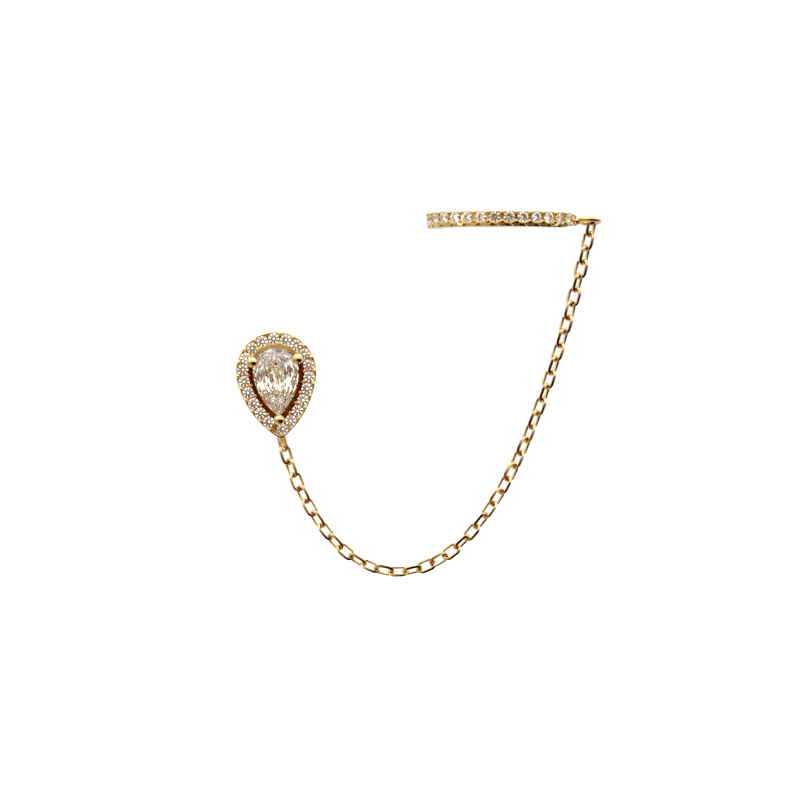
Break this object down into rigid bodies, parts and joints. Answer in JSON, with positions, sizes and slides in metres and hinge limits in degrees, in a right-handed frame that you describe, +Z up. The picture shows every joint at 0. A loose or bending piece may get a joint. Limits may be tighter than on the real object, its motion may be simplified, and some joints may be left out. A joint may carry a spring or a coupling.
{
  "type": "ear chain earring",
  "caption": "Drop-shaped halo stud with ear post, joined by a hanging fine cable chain to an open stone-set ear cuff, in polished yellow gold colour.",
  "frame": {"origin": "middle of the stud's back face, where the ear post leaves it and the ear lobe carries the piece", "axes": "+Z up as it hangs, +X from the stud towards the ear cuff, +Y along the ear post to the back of the ear; the stones face -Y"},
  "size_m": [0.0311, 0.017, 0.0327],
  "materials": {
    "gold": "polished yellow gold plate",
    "crystal": "clear, cut and polished"
  },
  "bodies": {
    "root": {"stud_setting": "gold", "centre_stone": "crystal", "halo_stone_01": "crystal", "halo_stone_02": "crystal", "halo_stone_03": "crystal", "halo_stone_04": "crystal", "halo_stone_05": "crystal", "halo_stone_06": "crystal", "halo_stone_07": "crystal", "halo_stone_08": "crystal", "halo_stone_09": "crystal", "halo_stone_10": "crystal", "halo_stone_11": "crystal", "halo_stone_12": "crystal", "halo_stone_13": "crystal", "halo_stone_14": "crystal", "halo_stone_15": "crystal", "halo_stone_16": "crystal", "halo_stone_17": "crystal", "halo_stone_18": "crystal", "halo_stone_19": "crystal", "halo_stone_20": "crystal", "chain": "gold", "ear_cuff": "gold", "cuff_stone_01": "crystal", "cuff_stone_02": "crystal", "cuff_stone_03": "crystal", "cuff_stone_04": "crystal", "cuff_stone_05": "crystal", "cuff_stone_06": "crystal", "cuff_stone_07": "crystal", "cuff_stone_08": "crystal", "cuff_stone_09": "crystal", "cuff_stone_10": "crystal", "cuff_stone_11": "crystal", "cuff_stone_12": "crystal", "cuff_stone_13": "crystal", "cuff_stone_14": "crystal"}
  },
  "joints": []
}
